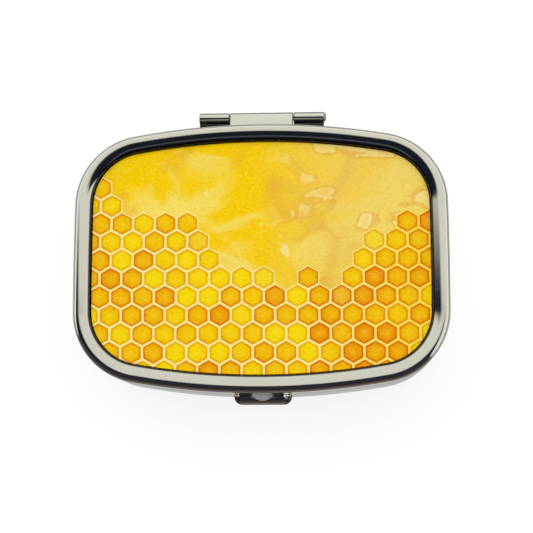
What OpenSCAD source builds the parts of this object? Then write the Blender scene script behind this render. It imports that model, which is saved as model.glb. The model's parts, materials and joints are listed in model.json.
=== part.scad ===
// Two-compartment pill box: a drawn metal base and lid, hinged at the back and
// held shut by a push-button catch at the front. A printed plate under a clear
// dome fills the lid, with a mirror behind it, and a moulded tray fills the base.
// X runs to the right, Y to the hinge, Z up. The origin is the centre of the
// underside. "Inset" is a distance in from the box's outer face, seen from above.

/* [Outline] */
// Width of the box from side to side
box_w = 56; // [48:0.5:68]
// Depth of the box from front to back, without button and hinge
box_d = 40.5; // [34:0.5:49]
// Half the angle through which the bowed front and back each turn
bow_a = 10.1; // [8:0.1:12]
// Half the angle through which the nearly straight sides each turn
side_a = 0.84; // [0.6:0.02:1.6]
// Radius of the four corners
corner_r = 10.7; // [9:0.1:13]

/* [Base] */
// Height of the base, from the table to its rim
base_h = 10.6; // [8.8:0.1:13]
// Thickness of the base's wall
wall_t = 0.8; // [0.6:0.05:1]
// Thickness of the base's floor
floor_t = 0.8; // [0.6:0.05:1]
// Radius of the edge between wall and floor
foot_r = 2.5; // [2:0.1:3]
// Thickness of the collar inside the rim
collar_t = 0.5; // [0.4:0.05:0.6]
// Height of the collar above the rim
collar_up = 1; // [0.6:0.1:1.2]
// Depth of the collar below the rim
collar_down = 1.8; // [1:0.1:2]
// Clearance between the collar and the wall around it
collar_fit = 0.02; // [0.01:0.01:0.05]

/* [Tray] */
// Wall and floor thickness of the tray
tray_t = 0.8; // [0.6:0.05:1]
// Gap between the tray and the collar around it
tray_fit = 0.18; // [0.1:0.01:0.3]
// Distance of the tray's rim below the rim of the base
tray_drop = 0.4; // [0.2:0.1:1]
// Radius of the tray's edge between wall and floor
tray_r = 1.5; // [1.2:0.1:2]
// Thickness of the divider between the two compartments
divider_t = 0.9; // [0.7:0.1:1.2]

/* [Lid] */
// Gap between the rims of base and lid
rim_gap = 0.12; // [0.08:0.01:0.2]
// Height of the lid's straight side
lid_side_h = 3.4; // [2.8:0.1:4.5]
// Width of the rounded ring round the picture
crown_w = 2.6; // [2.2:0.1:3.2]
// Thickness of the lid's sheet
lid_t = 0.7; // [0.6:0.05:0.75]
// Depth of the picture's recess below the top of the ring
recess = 1.6; // [1.4:0.1:1.9]

/* [Picture] */
// Gap round the picture in its recess
print_fit = 0.12; // [0.05:0.01:0.2]
// Thickness of the adhesive under the picture
print_glue_t = 0.15; // [0.1:0.01:0.2]
// Thickness of the printed plate
print_t = 0.5; // [0.4:0.05:0.6]
// Thickness of the clear dome
dome_t = 0.6; // [0.4:0.05:0.7]
// Edge radius of the clear dome
dome_edge = 0.4; // [0.2:0.05:0.4]

/* [Mirror] */
// Thickness of the mirror
mirror_t = 1; // [0.8:0.05:1.1]
// Thickness of the adhesive behind the mirror
mirror_glue_t = 0.2; // [0.1:0.01:0.25]
// Width of the frame's band beside the mirror
frame_w = 1.4; // [1:0.1:1.8]
// Width of the frame's lip in front of the mirror
frame_lip = 0.8; // [0.5:0.1:1.2]
// Thickness of the frame's lip
frame_t = 0.45; // [0.35:0.05:0.5]
// Clearance between the frame and what it holds and fits into
frame_fit = 0.1; // [0.05:0.01:0.15]

/* [Hinge] */
// Distance of the hinge's axis behind the back of the box
hinge_out = 2.05; // [1.9:0.05:2.5]
// Outer radius of the knuckles
barrel_r = 0.8; // [0.7:0.05:0.95]
// Radius of the pin
pin_r = 0.42; // [0.35:0.01:0.5]
// Radial clearance of the pin in the knuckles of the base
pin_tight = 0.01; // [0.01:0.005:0.02]
// Radial clearance of the pin in the knuckle of the lid
pin_run = 0.04; // [0.02:0.01:0.06]
// Length of the knuckle of the lid
lid_knuckle_w = 9.6; // [8:0.1:11.5]
// Length of each knuckle of the base
base_knuckle_w = 4.6; // [3.8:0.1:5.5]
// Gap between two knuckles
knuckle_gap = 0.2; // [0.1:0.05:0.3]
// Thickness of the web that joins a base knuckle to the wall
web_t = 0.6; // [0.5:0.05:0.7]
// Slope of the top of the lid's knuckle, down to the back
leaf_slope = 18; // [12:1:22]
// Height of the underside of the lid's leaf above the rim of the base
leaf_lift = 0.25; // [0.2:0.01:0.35]
// Angle at which the stop under the lid's knuckle meets the base
stop_angle = 106; // [104:1:110]
// Thickness of that stop from front to back
stop_t = 1.15; // [1:0.05:1.3]
// Radius of the pin's head
pin_head_r = 0.72; // [0.6:0.02:0.8]
// Length of the pin's head
pin_head_l = 0.32; // [0.25:0.01:0.4]

/* [Catch] */
// Width of the push button
button_w = 8.8; // [7.4:0.1:10.5]
// Height of the push button
button_h = 3.2; // [2.7:0.1:3.6]
// Distance of the button's middle below the rim
button_drop = 4.1; // [4:0.1:4.5]
// How far the button stands out of the base
button_out = 1.3; // [1.1:0.05:1.6]
// Radius of the button's outer edge
button_edge = 1.2; // [1:0.05:1.3]
// Clearance of the button in its window
button_fit = 0.15; // [0.1:0.01:0.2]
// Travel of the button
button_travel = 0.8; // [0.65:0.05:0.9]
// Thickness of the flange that keeps the button in
flange_t = 0.45; // [0.4:0.05:0.55]
// How far the flange reaches past the button at each end
flange_side = 0.8; // [0.6:0.1:1]
// Gap between the flange and the wall
flange_gap = 0.25; // [0.15:0.05:0.3]
// Width of the pusher behind the button
pusher_w = 4.4; // [3.6:0.1:4.8]
// Height of the pusher
pusher_h = 2.2; // [1.8:0.1:2.6]
// Radius of the nail scoop in the button, seen from above
scoop_r = 2.3; // [2:0.1:2.7]
// How far the nail scoop reaches out from the wall
scoop_out = 0.75; // [0.6:0.05:0.9]
// Depth of the nail scoop
scoop_deep = 0.7; // [0.5:0.05:0.8]
// Inset of the leaf spring's upright
leaf_in = 3; // [2.9:0.05:3.4]
// Thickness of the leaf spring
leaf_t = 0.25; // [0.2:0.01:0.3]
// Length of the leaf spring's foot
leaf_foot = 3.6; // [3.2:0.1:4.2]
// How far the leaf spring's lip reaches over the hook's nose
catch_lap = 0.5; // [0.4:0.05:0.6]
// Gap between the leaf spring and what it touches in use
catch_gap = 0.1; // [0.05:0.01:0.15]
// Thickness of the bracket's plate and cheeks
bracket_t = 0.5; // [0.4:0.05:0.6]
// Radius of the rivet's shank
rivet_r = 0.5; // [0.4:0.05:0.6]
// Radius of the rivet's head
rivet_head_r = 0.9; // [0.8:0.05:1]
// Height of the rivet's head
rivet_head_h = 0.4; // [0.3:0.05:0.5]
// Width of the hook on the lid
hook_w = 5; // [4.2:0.1:5.4]
// Thickness of the hook
hook_t = 0.8; // [0.7:0.05:0.85]
// Length of the hook's nose
nose_l = 0.7; // [0.6:0.05:0.8]
// Height of the hook's nose
nose_h = 0.6; // [0.5:0.05:0.7]

/* [Hidden] */
$fn = 64;

// Running clearance between two parts that don't touch in use
air = 0.3;
// How far a cutting shape passes the face that it cuts
past = 1;

// Outline: eight tangent arcs. Each corner's centre lies on the last radius of a
// side and of a bow, so the radii follow from the two sizes and the two angles.
half_w = box_w / 2 - corner_r;
half_d = box_d / 2 - corner_r;
bow_rest = (half_w * sin(side_a) - half_d * (1 - cos(side_a)))
    / (sin(bow_a) * sin(side_a) - (1 - cos(bow_a)) * (1 - cos(side_a)));
side_rest = (half_d - bow_rest * (1 - cos(bow_a))) / sin(side_a);
bow_r = bow_rest + corner_r;
side_r = side_rest + corner_r;
side_c = [box_w / 2 - side_r, 0];
bow_c = [0, box_d / 2 - bow_r];
corner_c = [bow_rest * sin(bow_a), side_rest * sin(side_a)];
turn = 90 - bow_a - side_a;
// Each arc is its centre, radius, start angle and sweep, anticlockwise from the right
BACK = [bow_c, bow_r, 90 - bow_a, 2 * bow_a];
FRONT = [-bow_c, bow_r, 270 - bow_a, 2 * bow_a];
OUTLINE = [
    [side_c, side_r, -side_a, 2 * side_a],
    [corner_c, corner_r, side_a, turn],
    BACK,
    [[-corner_c[0], corner_c[1]], corner_r, 90 + bow_a, turn],
    [-side_c, side_r, 180 - side_a, 2 * side_a],
    [-corner_c, corner_r, 180 + side_a, turn],
    FRONT,
    [[corner_c[0], -corner_c[1]], corner_r, 270 + bow_a, turn],
];

// Heights
lid_z = base_h + rim_gap;
crown_r = crown_w / 2;
crown_z = lid_z + lid_side_h + crown_r;
picture_z = crown_z - recess;
ceiling_z = picture_z - lid_t;
mirror_z = ceiling_z - mirror_glue_t - mirror_t;
tray_z = floor_t + 0.02;
tray_top = base_h - tray_drop;
button_z = base_h - button_drop;
button_top = button_z + button_h / 2;
hook_z = button_top + air;
leaf_lip_z = hook_z + nose_h + catch_gap;
plate_z = floor_t + bracket_t;

// Insets
collar_in = wall_t + collar_fit;
tray_in = collar_in + collar_t + tray_fit;
picture_in = crown_w + print_fit;
frame_in = crown_w - lid_t + 2 * frame_fit;
mirror_in = frame_in + frame_w + frame_fit;
flange_in = wall_t + flange_gap;
hook_in = flange_in;
nose_in = hook_in + hook_t;
lip_in = nose_in + nose_l - catch_lap;
pusher_in = leaf_in - 0.05;
flange_low = button_h / 2 + air;
cheek_in = flange_in + flange_t + button_travel + air;
cheek_w = pusher_w + 2 * catch_gap;
bracket_w = cheek_w + 4 * bracket_t;
bracket_back = leaf_in + leaf_foot + air;
rivet_in = leaf_in + leaf_foot * 2 / 3;
notch_w = button_w + 2 * flange_side + 2 * air + 0.4;
notch_in = bracket_back + air;
hinge_y = box_d / 2 + hinge_out;
base_knuckle_x = lid_knuckle_w / 2 + knuckle_gap;
stop_h = (hinge_out + barrel_r * cos(stop_angle)) / sin(stop_angle);

// Y of a point on the centre line, from its inset at the front
function front(inset) = inset - box_d / 2;

// Start of an arc, moved in from the outline
function arc_start(arc, inset) = arc[0] + (arc[1] - inset) * [cos(arc[2]), sin(arc[2])];

// Greatest rise of an arc over its chord
function rise(r, sweep) = r * (1 - cos(sweep / 2));

// Width of the swept edge of a filled shape: it takes in the arcs' rise over the
// polygon that fills the middle, which starts a lap further in than the edge
lap = 0.3;
function edge_w(inset) = 2 * lap + max(
    rise(bow_r - inset, 2 * bow_a), rise(corner_r - inset, turn), rise(side_r, 2 * side_a));

// Children moved to a point, in a coarse and a fine step that keep every digit,
// so that neighbouring arcs meet exactly
module place(p) {
    coarse = [for (c = p) round(c * 100) / 100];
    translate(coarse) translate(p - coarse) children();
}

// A profile swept along one arc: its x is the inset and its y the height
module along_arc(arc)
    place(arc[0]) rotate_extrude(angle = arc[3], start = arc[2], $fn = 360)
        place([arc[1], 0]) mirror([1, 0]) children();

// The upper half of a disc, and its quarter to the upper right
module half_disc(r)
    intersection() {
        circle(r);
        translate([-2 * r, 0]) square([4 * r, 2 * r]);
    }

module quarter_disc(r)
    intersection() {
        circle(r);
        square(2 * r);
    }

// A profile swept round the whole outline
module around()
    for (arc = OUTLINE) along_arc(arc) children();

// The middle of a filled shape
module middle(inset, z, h)
    translate([0, 0, z]) linear_extrude(h)
        polygon([for (arc = OUTLINE) arc_start(arc, inset + lap)]);

// A flat plate of the box's outline, moved in by an inset
module slab(inset, z, h) {
    middle(inset, z, h);
    around() translate([inset, z]) square([edge_w(inset), h]);
}

// A filled shape whose lower edge is rounded
module dish(inset, z, top, r) {
    middle(inset + r, z, top - z);
    around() {
        translate([inset, z + r]) square([r + edge_w(inset + r), top - z - r]);
        translate([inset + r, z]) square([edge_w(inset + r), r]);
        translate([inset + r, z + r]) rotate(180) quarter_disc(r);
    }
}

// A solid whose cross-section, drawn with Y across and Z up, is carried along X
module bar(w)
    rotate([90, 0, 90]) translate([0, 0, -w / 2]) linear_extrude(w) children();

// A box centred on X, from one inset at the front to another
module block(w, in0, in1, z0, z1)
    translate([-w / 2, front(in0), z0]) cube([w, in1 - in0, z1 - z0]);

// A pill-shaped plug along Y, from y0 back to y1
module plug(w, h, y0, y1, z)
    translate([0, y1, z]) rotate([90, 0, 0]) {
        translate([(h - w) / 2, -h / 2, 0]) cube([w - h, h, y1 - y0]);
        for (side = [-1, 1]) translate([side * (w - h) / 2, 0, 0])
            rotate(-90 * side) rotate_extrude(angle = 180) square([h / 2, y1 - y0]);
    }

// Drawn shell of the base, with the button's window in its front wall
module base_shell() {
    window_w = button_w + 2 * button_fit;
    window_h = button_h + 2 * button_fit;
    color("silver") difference() {
        dish(0, 0, base_h, foot_r);
        dish(wall_t, floor_t, base_h + past, foot_r - wall_t);
        plug(window_w, window_h, front(-past), front(foot_r), button_z);
    }
}

// Collar that stands out of the base's rim and centres the lid, cut at the hook
module base_collar() {
    bevel = collar_t / 3;
    color("gainsboro") difference() {
        around() translate([collar_in, base_h - collar_down]) polygon([
            [0, 0], [collar_t, 0], [collar_t, collar_down + collar_up],
            [bevel, collar_down + collar_up], [0, collar_down + collar_up - bevel]
        ]);
        block(hook_w + 2 * air, -past, foot_r + past, base_h - collar_down - past, base_h + collar_up + past);
    }
}

// One knuckle of the base: a tube round the pin on a web that meets the wall
module base_knuckle(side)
    translate([side * (base_knuckle_x + base_knuckle_w / 2), 0, 0]) difference() {
        translate([0, hinge_y, base_h]) bar(base_knuckle_w) difference() {
            union() {
                circle(barrel_r);
                translate([-hinge_out - wall_t, -barrel_r]) square([hinge_out + wall_t, web_t]);
            }
            circle(pin_r + pin_tight);
        }
        translate([-side * (base_knuckle_x + base_knuckle_w / 2), 0, 0])
            along_arc(BACK) square([corner_r, base_h]);
    }

module hinge_knuckle_left()
    color("silver") base_knuckle(-1);

module hinge_knuckle_right()
    color("silver") base_knuckle(1);

// Pin through the three knuckles, with a domed head at its right end
module hinge_pin() {
    end_x = base_knuckle_x + base_knuckle_w;
    head_x = end_x + 0.02;
    color("darkgray") translate([0, hinge_y, base_h]) rotate([0, 90, 0]) {
        translate([0, 0, -end_x]) cylinder(r = pin_r, h = end_x + head_x);
        translate([0, 0, head_x]) rotate_extrude() {
            square([pin_head_r - pin_head_l / 2, pin_head_l]);
            square([pin_head_r, pin_head_l / 2]);
            translate([pin_head_r - pin_head_l / 2, pin_head_l / 2]) quarter_disc(pin_head_l / 2);
        }
    }
}

// Moulded tray with two compartments, stepped round the catch at its front
module pill_tray() {
    inner_r = tray_r - tray_t;
    color("white") difference() {
        dish(tray_in, tray_z, tray_top, tray_r);
        difference() {
            dish(tray_in + tray_t, tray_z + tray_t, tray_top + past, inner_r);
            block(notch_w + 2 * tray_t, -past, notch_in + tray_t, 0, tray_top + 2 * past);
            translate([-divider_t / 2, -box_d / 2, 0]) cube([divider_t, box_d, tray_top + 2 * past]);
        }
        block(notch_w, -past, notch_in, -past, tray_top + past);
    }
}

// Outline of the button from the side: length outward, rounded at the outer end
module button_section(half, length) {
    square([half, length - button_edge]);
    square([half - button_edge, length]);
    translate([half - button_edge, length - button_edge]) quarter_disc(button_edge);
}

// Push button: a rounded cap in the window, a flange behind it and a pusher
module latch_button() {
    length = button_out + flange_in;
    half = button_h / 2;
    scoop_ball = (pow(scoop_r, 2) + pow(scoop_deep, 2)) / (2 * scoop_deep);
    color("silver") difference() {
        union() {
            translate([0, front(flange_in), button_z]) rotate([90, 0, 0]) {
                bar(button_w - button_h) {
                    button_section(half, length);
                    mirror([1, 0]) button_section(half, length);
                }
                for (side = [-1, 1]) translate([side * (button_w - button_h) / 2, 0, 0])
                    rotate(-90 * side) rotate_extrude(angle = 180) button_section(half, length);
            }
            block(button_w + 2 * flange_side, flange_in, flange_in + flange_t,
                button_z - flange_low, button_top);
            block(pusher_w, flange_in + flange_t / 2, pusher_in,
                button_z - pusher_h / 2, button_z + pusher_h / 2);
        }
        intersection() {
            translate([0, front(scoop_r - scoop_out), button_top + scoop_ball - scoop_deep]) sphere(scoop_ball);
            block(button_w, -button_out - past, -0.05, 0, base_h);
        }
    }
}

// Leaf spring: a foot under the rivet, an upright behind the pusher, and a lip
// that bends forward over the hook's nose
module latch_leaf()
    color("lightsteelblue") difference() {
        translate([0, front(0), 0]) bar(pusher_w) {
            translate([leaf_in, plate_z]) square([leaf_foot, leaf_t]);
            translate([leaf_in, plate_z]) square([leaf_t, leaf_lip_z + leaf_t - plate_z]);
            translate([lip_in, leaf_lip_z]) square([leaf_in + leaf_t - lip_in, leaf_t]);
        }
        translate([0, front(rivet_in), 0]) cylinder(r = rivet_r + collar_fit, h = base_h);
    }

// Bracket on the floor of the base, with a cheek on each side of the leaf spring
module latch_bracket()
    color("gainsboro") difference() {
        union() {
            block(bracket_w, cheek_in, bracket_back, floor_t, plate_z);
            for (side = [-1, 1])
                translate([side * (cheek_w + bracket_t) / 2, 0, 0])
                    block(bracket_t, cheek_in, rivet_in - rivet_head_r, floor_t, button_z + pusher_h / 2 + air);
        }
        translate([0, front(rivet_in), 0]) cylinder(r = rivet_r + collar_fit, h = base_h);
    }

// Rivet that holds the leaf spring's foot down on the bracket
module latch_rivet() {
    head_z = plate_z + leaf_t + 0.02;
    color("darkgray") translate([0, front(rivet_in), 0]) {
        translate([0, 0, tray_z]) cylinder(r = rivet_r, h = head_z - tray_z);
        translate([0, 0, head_z]) cylinder(r1 = rivet_head_r, r2 = rivet_head_r / 2, h = rivet_head_h);
    }
}

// Drawn shell of the lid: a straight side, a rounded ring and a sunk floor
module lid_shell()
    color("silver") {
        around() difference() {
            union() {
                translate([0, lid_z]) square([crown_w, lid_side_h]);
                translate([crown_r, lid_z + lid_side_h]) half_disc(crown_r);
            }
            translate([lid_t, lid_z - past]) square([crown_w - 2 * lid_t, lid_side_h + past]);
            translate([crown_r, lid_z + lid_side_h]) half_disc(crown_r - lid_t);
            translate([lid_t, lid_z - past]) square([crown_w, ceiling_z - lid_z + past]);
        }
        slab(crown_w - lid_t / 2, ceiling_z, lid_t);
    }

// Knuckle of the lid: a flat leaf rolled round the pin, with a stop below it
// that meets the back of the base when the lid is fully open
module lid_knuckle() {
    wall = -hinge_out - lid_t;
    top = [barrel_r * sin(leaf_slope), barrel_r * cos(leaf_slope)];
    color("silver") difference() {
        translate([0, hinge_y, base_h]) bar(lid_knuckle_w) difference() {
            union() {
                circle(barrel_r);
                polygon([
                    [wall, leaf_lift], [0, leaf_lift], top,
                    [wall, top[1] + (top[0] - wall) * tan(leaf_slope)]
                ]);
                translate([barrel_r - stop_t, -stop_h]) square([stop_t, stop_h]);
            }
            circle(pin_r + pin_run);
        }
        along_arc(BACK) square([corner_r, crown_z]);
    }
}

// Hook inside the lid's front wall: its nose snaps under the leaf spring's lip
module lid_hook() {
    root_z = lid_z + rim_gap;
    root_top = ceiling_z - air;
    color("gainsboro") intersection() {
        along_arc(FRONT) polygon([
            [lid_t, root_z], [lid_t, root_top], [nose_in, root_top], [nose_in, hook_z + nose_h],
            [nose_in + nose_l, hook_z + nose_h], [nose_in + nose_l, hook_z + nose_h / 2],
            [nose_in + nose_l / 2, hook_z], [hook_in, hook_z], [hook_in, root_z]
        ]);
        block(hook_w, -past, notch_in, 0, crown_z);
    }
}

// Adhesive film that holds the mirror to the lid
module mirror_adhesive()
    color("whitesmoke") slab(mirror_in + frame_lip / 2, mirror_z + mirror_t, mirror_glue_t);

// Glass mirror inside the lid
module mirror_glass()
    color("lightcyan") slab(mirror_in, mirror_z, mirror_t);

// Moulded frame round the mirror, with a lip over its edge
module mirror_frame() {
    lip_top = mirror_z - frame_fit / 2;
    color("whitesmoke") around() {
        translate([frame_in, lip_top - frame_t]) square([frame_w, ceiling_z - lip_top + frame_t]);
        translate([frame_in, lip_top - frame_t]) square([frame_w + frame_lip, frame_t]);
    }
}

// Adhesive film that holds the printed plate in its recess
module print_adhesive()
    color("whitesmoke") slab(picture_in + lap, picture_z, print_glue_t);

// Printed aluminium plate
module print_plate()
    color("gold") slab(picture_in, picture_z + print_glue_t, print_t);

// Clear resin dome over the print, rounded at its edge
module clear_dome() {
    dome_z = picture_z + print_glue_t + print_t;
    dome_in = picture_in + dome_edge;
    color("khaki", 0.4) {
        middle(dome_in, dome_z, dome_t);
        around() {
            translate([picture_in, dome_z]) square([dome_edge + edge_w(dome_in), dome_t - dome_edge]);
            translate([dome_in, dome_z]) square([edge_w(dome_in), dome_t]);
            translate([dome_in, dome_z + dome_t - dome_edge]) rotate(90) quarter_disc(dome_edge);
        }
    }
}

base_shell();
base_collar();
hinge_knuckle_left();
hinge_knuckle_right();
hinge_pin();
pill_tray();
latch_button();
latch_leaf();
latch_bracket();
latch_rivet();
lid_shell();
lid_knuckle();
lid_hook();
mirror_adhesive();
mirror_glass();
mirror_frame();
print_adhesive();
print_plate();
clear_dome();
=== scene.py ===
import json

import bmesh
import bpy
import numpy as np
from mathutils import Matrix, Vector
from mathutils.geometry import tessellate_polygon


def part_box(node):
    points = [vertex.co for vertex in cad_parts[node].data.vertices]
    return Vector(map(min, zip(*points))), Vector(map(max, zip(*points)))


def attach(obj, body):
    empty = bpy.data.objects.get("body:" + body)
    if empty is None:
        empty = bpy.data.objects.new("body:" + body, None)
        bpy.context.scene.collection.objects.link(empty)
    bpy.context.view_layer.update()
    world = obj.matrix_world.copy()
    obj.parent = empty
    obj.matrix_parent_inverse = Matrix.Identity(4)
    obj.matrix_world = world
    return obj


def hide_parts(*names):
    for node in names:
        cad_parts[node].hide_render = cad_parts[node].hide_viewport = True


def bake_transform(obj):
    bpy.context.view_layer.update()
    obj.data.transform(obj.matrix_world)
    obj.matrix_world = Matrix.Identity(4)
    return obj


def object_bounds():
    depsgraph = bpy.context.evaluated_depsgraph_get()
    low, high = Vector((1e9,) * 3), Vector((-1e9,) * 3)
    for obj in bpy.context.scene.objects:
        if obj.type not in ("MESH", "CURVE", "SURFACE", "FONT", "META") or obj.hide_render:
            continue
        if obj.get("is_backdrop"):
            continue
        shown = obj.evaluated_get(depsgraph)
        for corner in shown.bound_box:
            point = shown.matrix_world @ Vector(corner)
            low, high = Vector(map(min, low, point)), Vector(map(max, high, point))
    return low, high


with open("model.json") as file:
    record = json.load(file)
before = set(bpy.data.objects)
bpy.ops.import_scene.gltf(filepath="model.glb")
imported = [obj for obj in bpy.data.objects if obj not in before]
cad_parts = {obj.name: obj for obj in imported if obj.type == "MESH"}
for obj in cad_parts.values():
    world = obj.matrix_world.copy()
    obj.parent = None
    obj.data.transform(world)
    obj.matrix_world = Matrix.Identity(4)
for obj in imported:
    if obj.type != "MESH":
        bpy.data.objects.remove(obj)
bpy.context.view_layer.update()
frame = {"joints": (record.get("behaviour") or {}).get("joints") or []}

# ---- Base shell ----
# The lower half of the box: 0.8 mm brass sheet drawn into a shallow dish, trimmed at its rim,
# with a window pressed through the front wall for the button, then nickel plated and polished.

MM = 0.001
base_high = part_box("base_shell")[1]
box_w = 2 * base_high.x
box_d = 2 * base_high.y
base_h = base_high.z
wall_t = 0.8 * MM
floor_t = 0.8 * MM
foot_r = 2.5 * MM
rim_edge = 0.1 * MM

# The outline is eight tangent arcs: four corners, two bows that reach bow_a degrees to each side of the
# middle, and two sides that reach side_a. A corner's centre lies on the last radius of a bow and of a side,
# so these two large radii follow from the box's size. A rest is a large radius less the corner's
corner_r = 10.7 * MM
bow_a, side_a = 10.1, 0.84
bow_turn, side_turn = np.radians(bow_a), np.radians(side_a)
reach_x, reach_y = box_w / 2 - corner_r, box_d / 2 - corner_r
bow_rest = (reach_x * np.sin(side_turn) - reach_y * (1 - np.cos(side_turn))) / (
    np.sin(bow_turn) * np.sin(side_turn) - (1 - np.cos(bow_turn)) * (1 - np.cos(side_turn)))
side_rest = (reach_y - bow_rest * (1 - np.cos(bow_turn))) / np.sin(side_turn)
bow_r, side_r = bow_rest + corner_r, side_rest + corner_r
bow_y, side_x = box_d / 2 - bow_r, box_w / 2 - side_r


def closed_path(*arcs):
    """Path of tangent arcs, anticlockwise round the solid. An arc is its centre, radius, first angle and
    turn in degrees, and number of points: point = centre + radius * normal, where normal = (cos, sin) of the
    angle is the outward direction. A hollow corner has a negative radius. Returns points and normals."""
    points, normals = [], []
    for centre, radius, first, turn, count in arcs:
        angle = np.radians(first + turn * np.linspace(0, 1, count))
        normal = np.stack([np.cos(angle), np.sin(angle)], 1)
        points.append(np.asarray(centre) + radius * normal)
        normals.append(normal)
    points, normals = np.concatenate(points), np.concatenate(normals)
    step = np.linalg.norm(points - np.roll(points, 1, 0), axis=1)
    return points[step > 1e-7], normals[step > 1e-7]


def outline(gap=0.0, fine=1):
    """The box seen from above, anticlockwise from the middle of the front, or from a gap of that half width.
    Its number of points grows with fine."""
    corner_x, corner_y = bow_rest * np.sin(bow_turn), side_rest * np.sin(side_turn)
    turn = 90 - bow_a - side_a
    gap_a = np.degrees(gap / bow_r)
    bend, bow, side = 40 * fine + 1, 40 * fine + 1, 20 * fine + 1
    return closed_path(
        ((0, -bow_y), bow_r, 270 + gap_a, bow_a - gap_a, bow // 2 + 1),
        ((corner_x, -corner_y), corner_r, 270 + bow_a, turn, bend),
        ((side_x, 0), side_r, -side_a, 2 * side_a, side),
        ((corner_x, corner_y), corner_r, side_a, turn, bend),
        ((0, bow_y), bow_r, 90 - bow_a, 2 * bow_a, bow),
        ((-corner_x, corner_y), corner_r, 90 + bow_a, turn, bend),
        ((-side_x, 0), side_r, 180 - side_a, 2 * side_a, side),
        ((-corner_x, -corner_y), corner_r, 180 + side_a, turn, bend),
        ((0, -bow_y), bow_r, 270 - bow_a, bow_a - gap_a, bow // 2 + 1),
    )


def front(inset):
    """Y of a point on the centre line, from its distance behind the foremost point of the wall."""
    return inset - box_d / 2


def carried(path, section):
    """Grid of a section carried along a path. Each section point (outward, height) gives a row of the grid:
    the path moved out along its normals, at that height."""
    points, normals = path
    rows = points[None] + section[:, 0, None, None] * normals[None]
    heights = np.broadcast_to(section[:, 1, None, None], rows.shape[:2] + (1,))
    return np.concatenate([rows, heights], 2)


def middle(row, shares, heights):
    """Rows that lead from one row of a grid to the middle: the row scaled by each share, at each height."""
    rows = row[None, :, :2] * np.asarray(shares, float)[:, None, None]
    heights = np.broadcast_to(np.asarray(heights, float)[:, None, None], rows.shape[:2] + (1,))
    return np.concatenate([rows, heights], 2)


def quads(rows, columns, wrap_rows=False, wrap_columns=True):
    """Faces between neighbouring rows and columns of a grid, wrapped round where the grid closes."""
    row = np.arange(rows if wrap_rows else rows - 1)[:, None]
    column = np.arange(columns if wrap_columns else columns - 1)[None]
    above, right = (row + 1) % rows, (column + 1) % columns
    low, high = row * columns, above * columns
    return np.stack([low + column, low + right, high + right, high + column], -1).reshape(-1, 4).tolist()


def solid(name, points, faces):
    """A closed mesh from points and faces. Points that fall on each other, as at a pole, become one."""
    mesh = bpy.data.meshes.new(name)
    mesh.from_pydata(points.reshape(-1, 3).tolist(), [], faces)
    work = bmesh.new()
    work.from_mesh(mesh)
    bmesh.ops.remove_doubles(work, verts=work.verts, dist=1e-7)
    work.to_mesh(mesh)
    work.free()
    piece = bpy.data.objects.new(name, mesh)
    bpy.context.scene.collection.objects.link(piece)
    return piece


def worked(piece, operation, *tools):
    """The piece with other solids cut from it or joined to it. The tools are used up."""
    for tool in tools:
        step = piece.modifiers.new(operation, "BOOLEAN")
        step.operation = operation
        step.solver = "EXACT"
        step.object = tool
    bpy.context.view_layer.update()
    shaped = piece.evaluated_get(bpy.context.evaluated_depsgraph_get())
    mesh = bpy.data.meshes.new_from_object(shaped)
    piece.modifiers.clear()
    piece.data = mesh
    mesh.name = piece.name
    for tool in tools:
        bpy.data.objects.remove(tool)
    return piece


# Which of a solid's section axes, 0 and 1, and its depth, 2, go to x, y and z
ALONG_X = [2, 0, 1]
ALONG_Y = [1, 2, 0]
ALONG_Z = [0, 1, 2]


def plug(name, grid, axes):
    """A solid from a grid of loops, with one flat face at each end."""
    rows, columns = grid.shape[:2]
    end = np.arange(columns)
    caps = [end[::-1].tolist(), (end + (rows - 1) * columns).tolist()]
    return solid(name, grid.reshape(-1, 3)[:, axes], quads(rows, columns) + caps)


def polished(piece, sharp=38):
    """Smooth shading, apart from edges that turn by more than the given angle."""
    piece.data.shade_smooth()
    piece.data.set_sharp_from_angle(angle=np.radians(sharp))


def finished(piece, material, node):
    """Give a piece its finish, and hide the construction node that it stands for."""
    piece.data.materials.clear()
    piece.data.materials.append(material)
    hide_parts(node)


def mounted(piece, body, material, node):
    """Finish a piece and fix it to a body."""
    finished(piece, material, node)
    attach(piece, body)


def put(tree, kind, inputs, **settings):
    """Add a shader node with its settings. An input is linked if it is another node's output, or else set."""
    node = tree.nodes.new("ShaderNode" + kind)
    for key, value in settings.items():
        setattr(node, key, value)
    for socket, value in inputs.items():
        if isinstance(value, bpy.types.NodeSocket):
            tree.links.new(value, node.inputs[socket])
        else:
            node.inputs[socket].default_value = value
    return node


def maths(tree, operation, *values):
    """Result of a Math node."""
    return put(tree, "Math", dict(enumerate(values)), operation=operation).outputs[0]


def vectors(tree, operation, *values, out=0):
    """Result of a Vector Math node."""
    return put(tree, "VectorMath", dict(enumerate(values)), operation=operation).outputs[out]


def split(tree, vector):
    """X, Y and Z of a vector."""
    return put(tree, "SeparateXYZ", {0: vector}).outputs


def ramp(tree, value, low, high, out_low=0.0, out_high=1.0):
    """A value eased from one range into another."""
    inputs = {0: value, 1: low, 2: high, 3: out_low, 4: out_high}
    return put(tree, "MapRange", inputs, interpolation_type="SMOOTHSTEP").outputs[0]


def band(tree, value, rise, fall):
    """1 between two places, easing from 0 over the rise and back to 0 over the fall."""
    return maths(tree, "MULTIPLY", ramp(tree, value, *rise), ramp(tree, value, *fall, 1.0, 0.0))


def near(tree, value, place, reach, core=0.0):
    """1 within the core distance of a place, easing to 0 at its reach."""
    away = maths(tree, "ABSOLUTE", maths(tree, "SUBTRACT", value, place))
    return ramp(tree, away, reach, core)


def tinted(tree, share, first, second):
    """The first colour turned into the second by a share from 0 to 1."""
    return put(tree, "Mix", {0: share, 6: first, 7: second}, data_type="RGBA").outputs[2]


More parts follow.
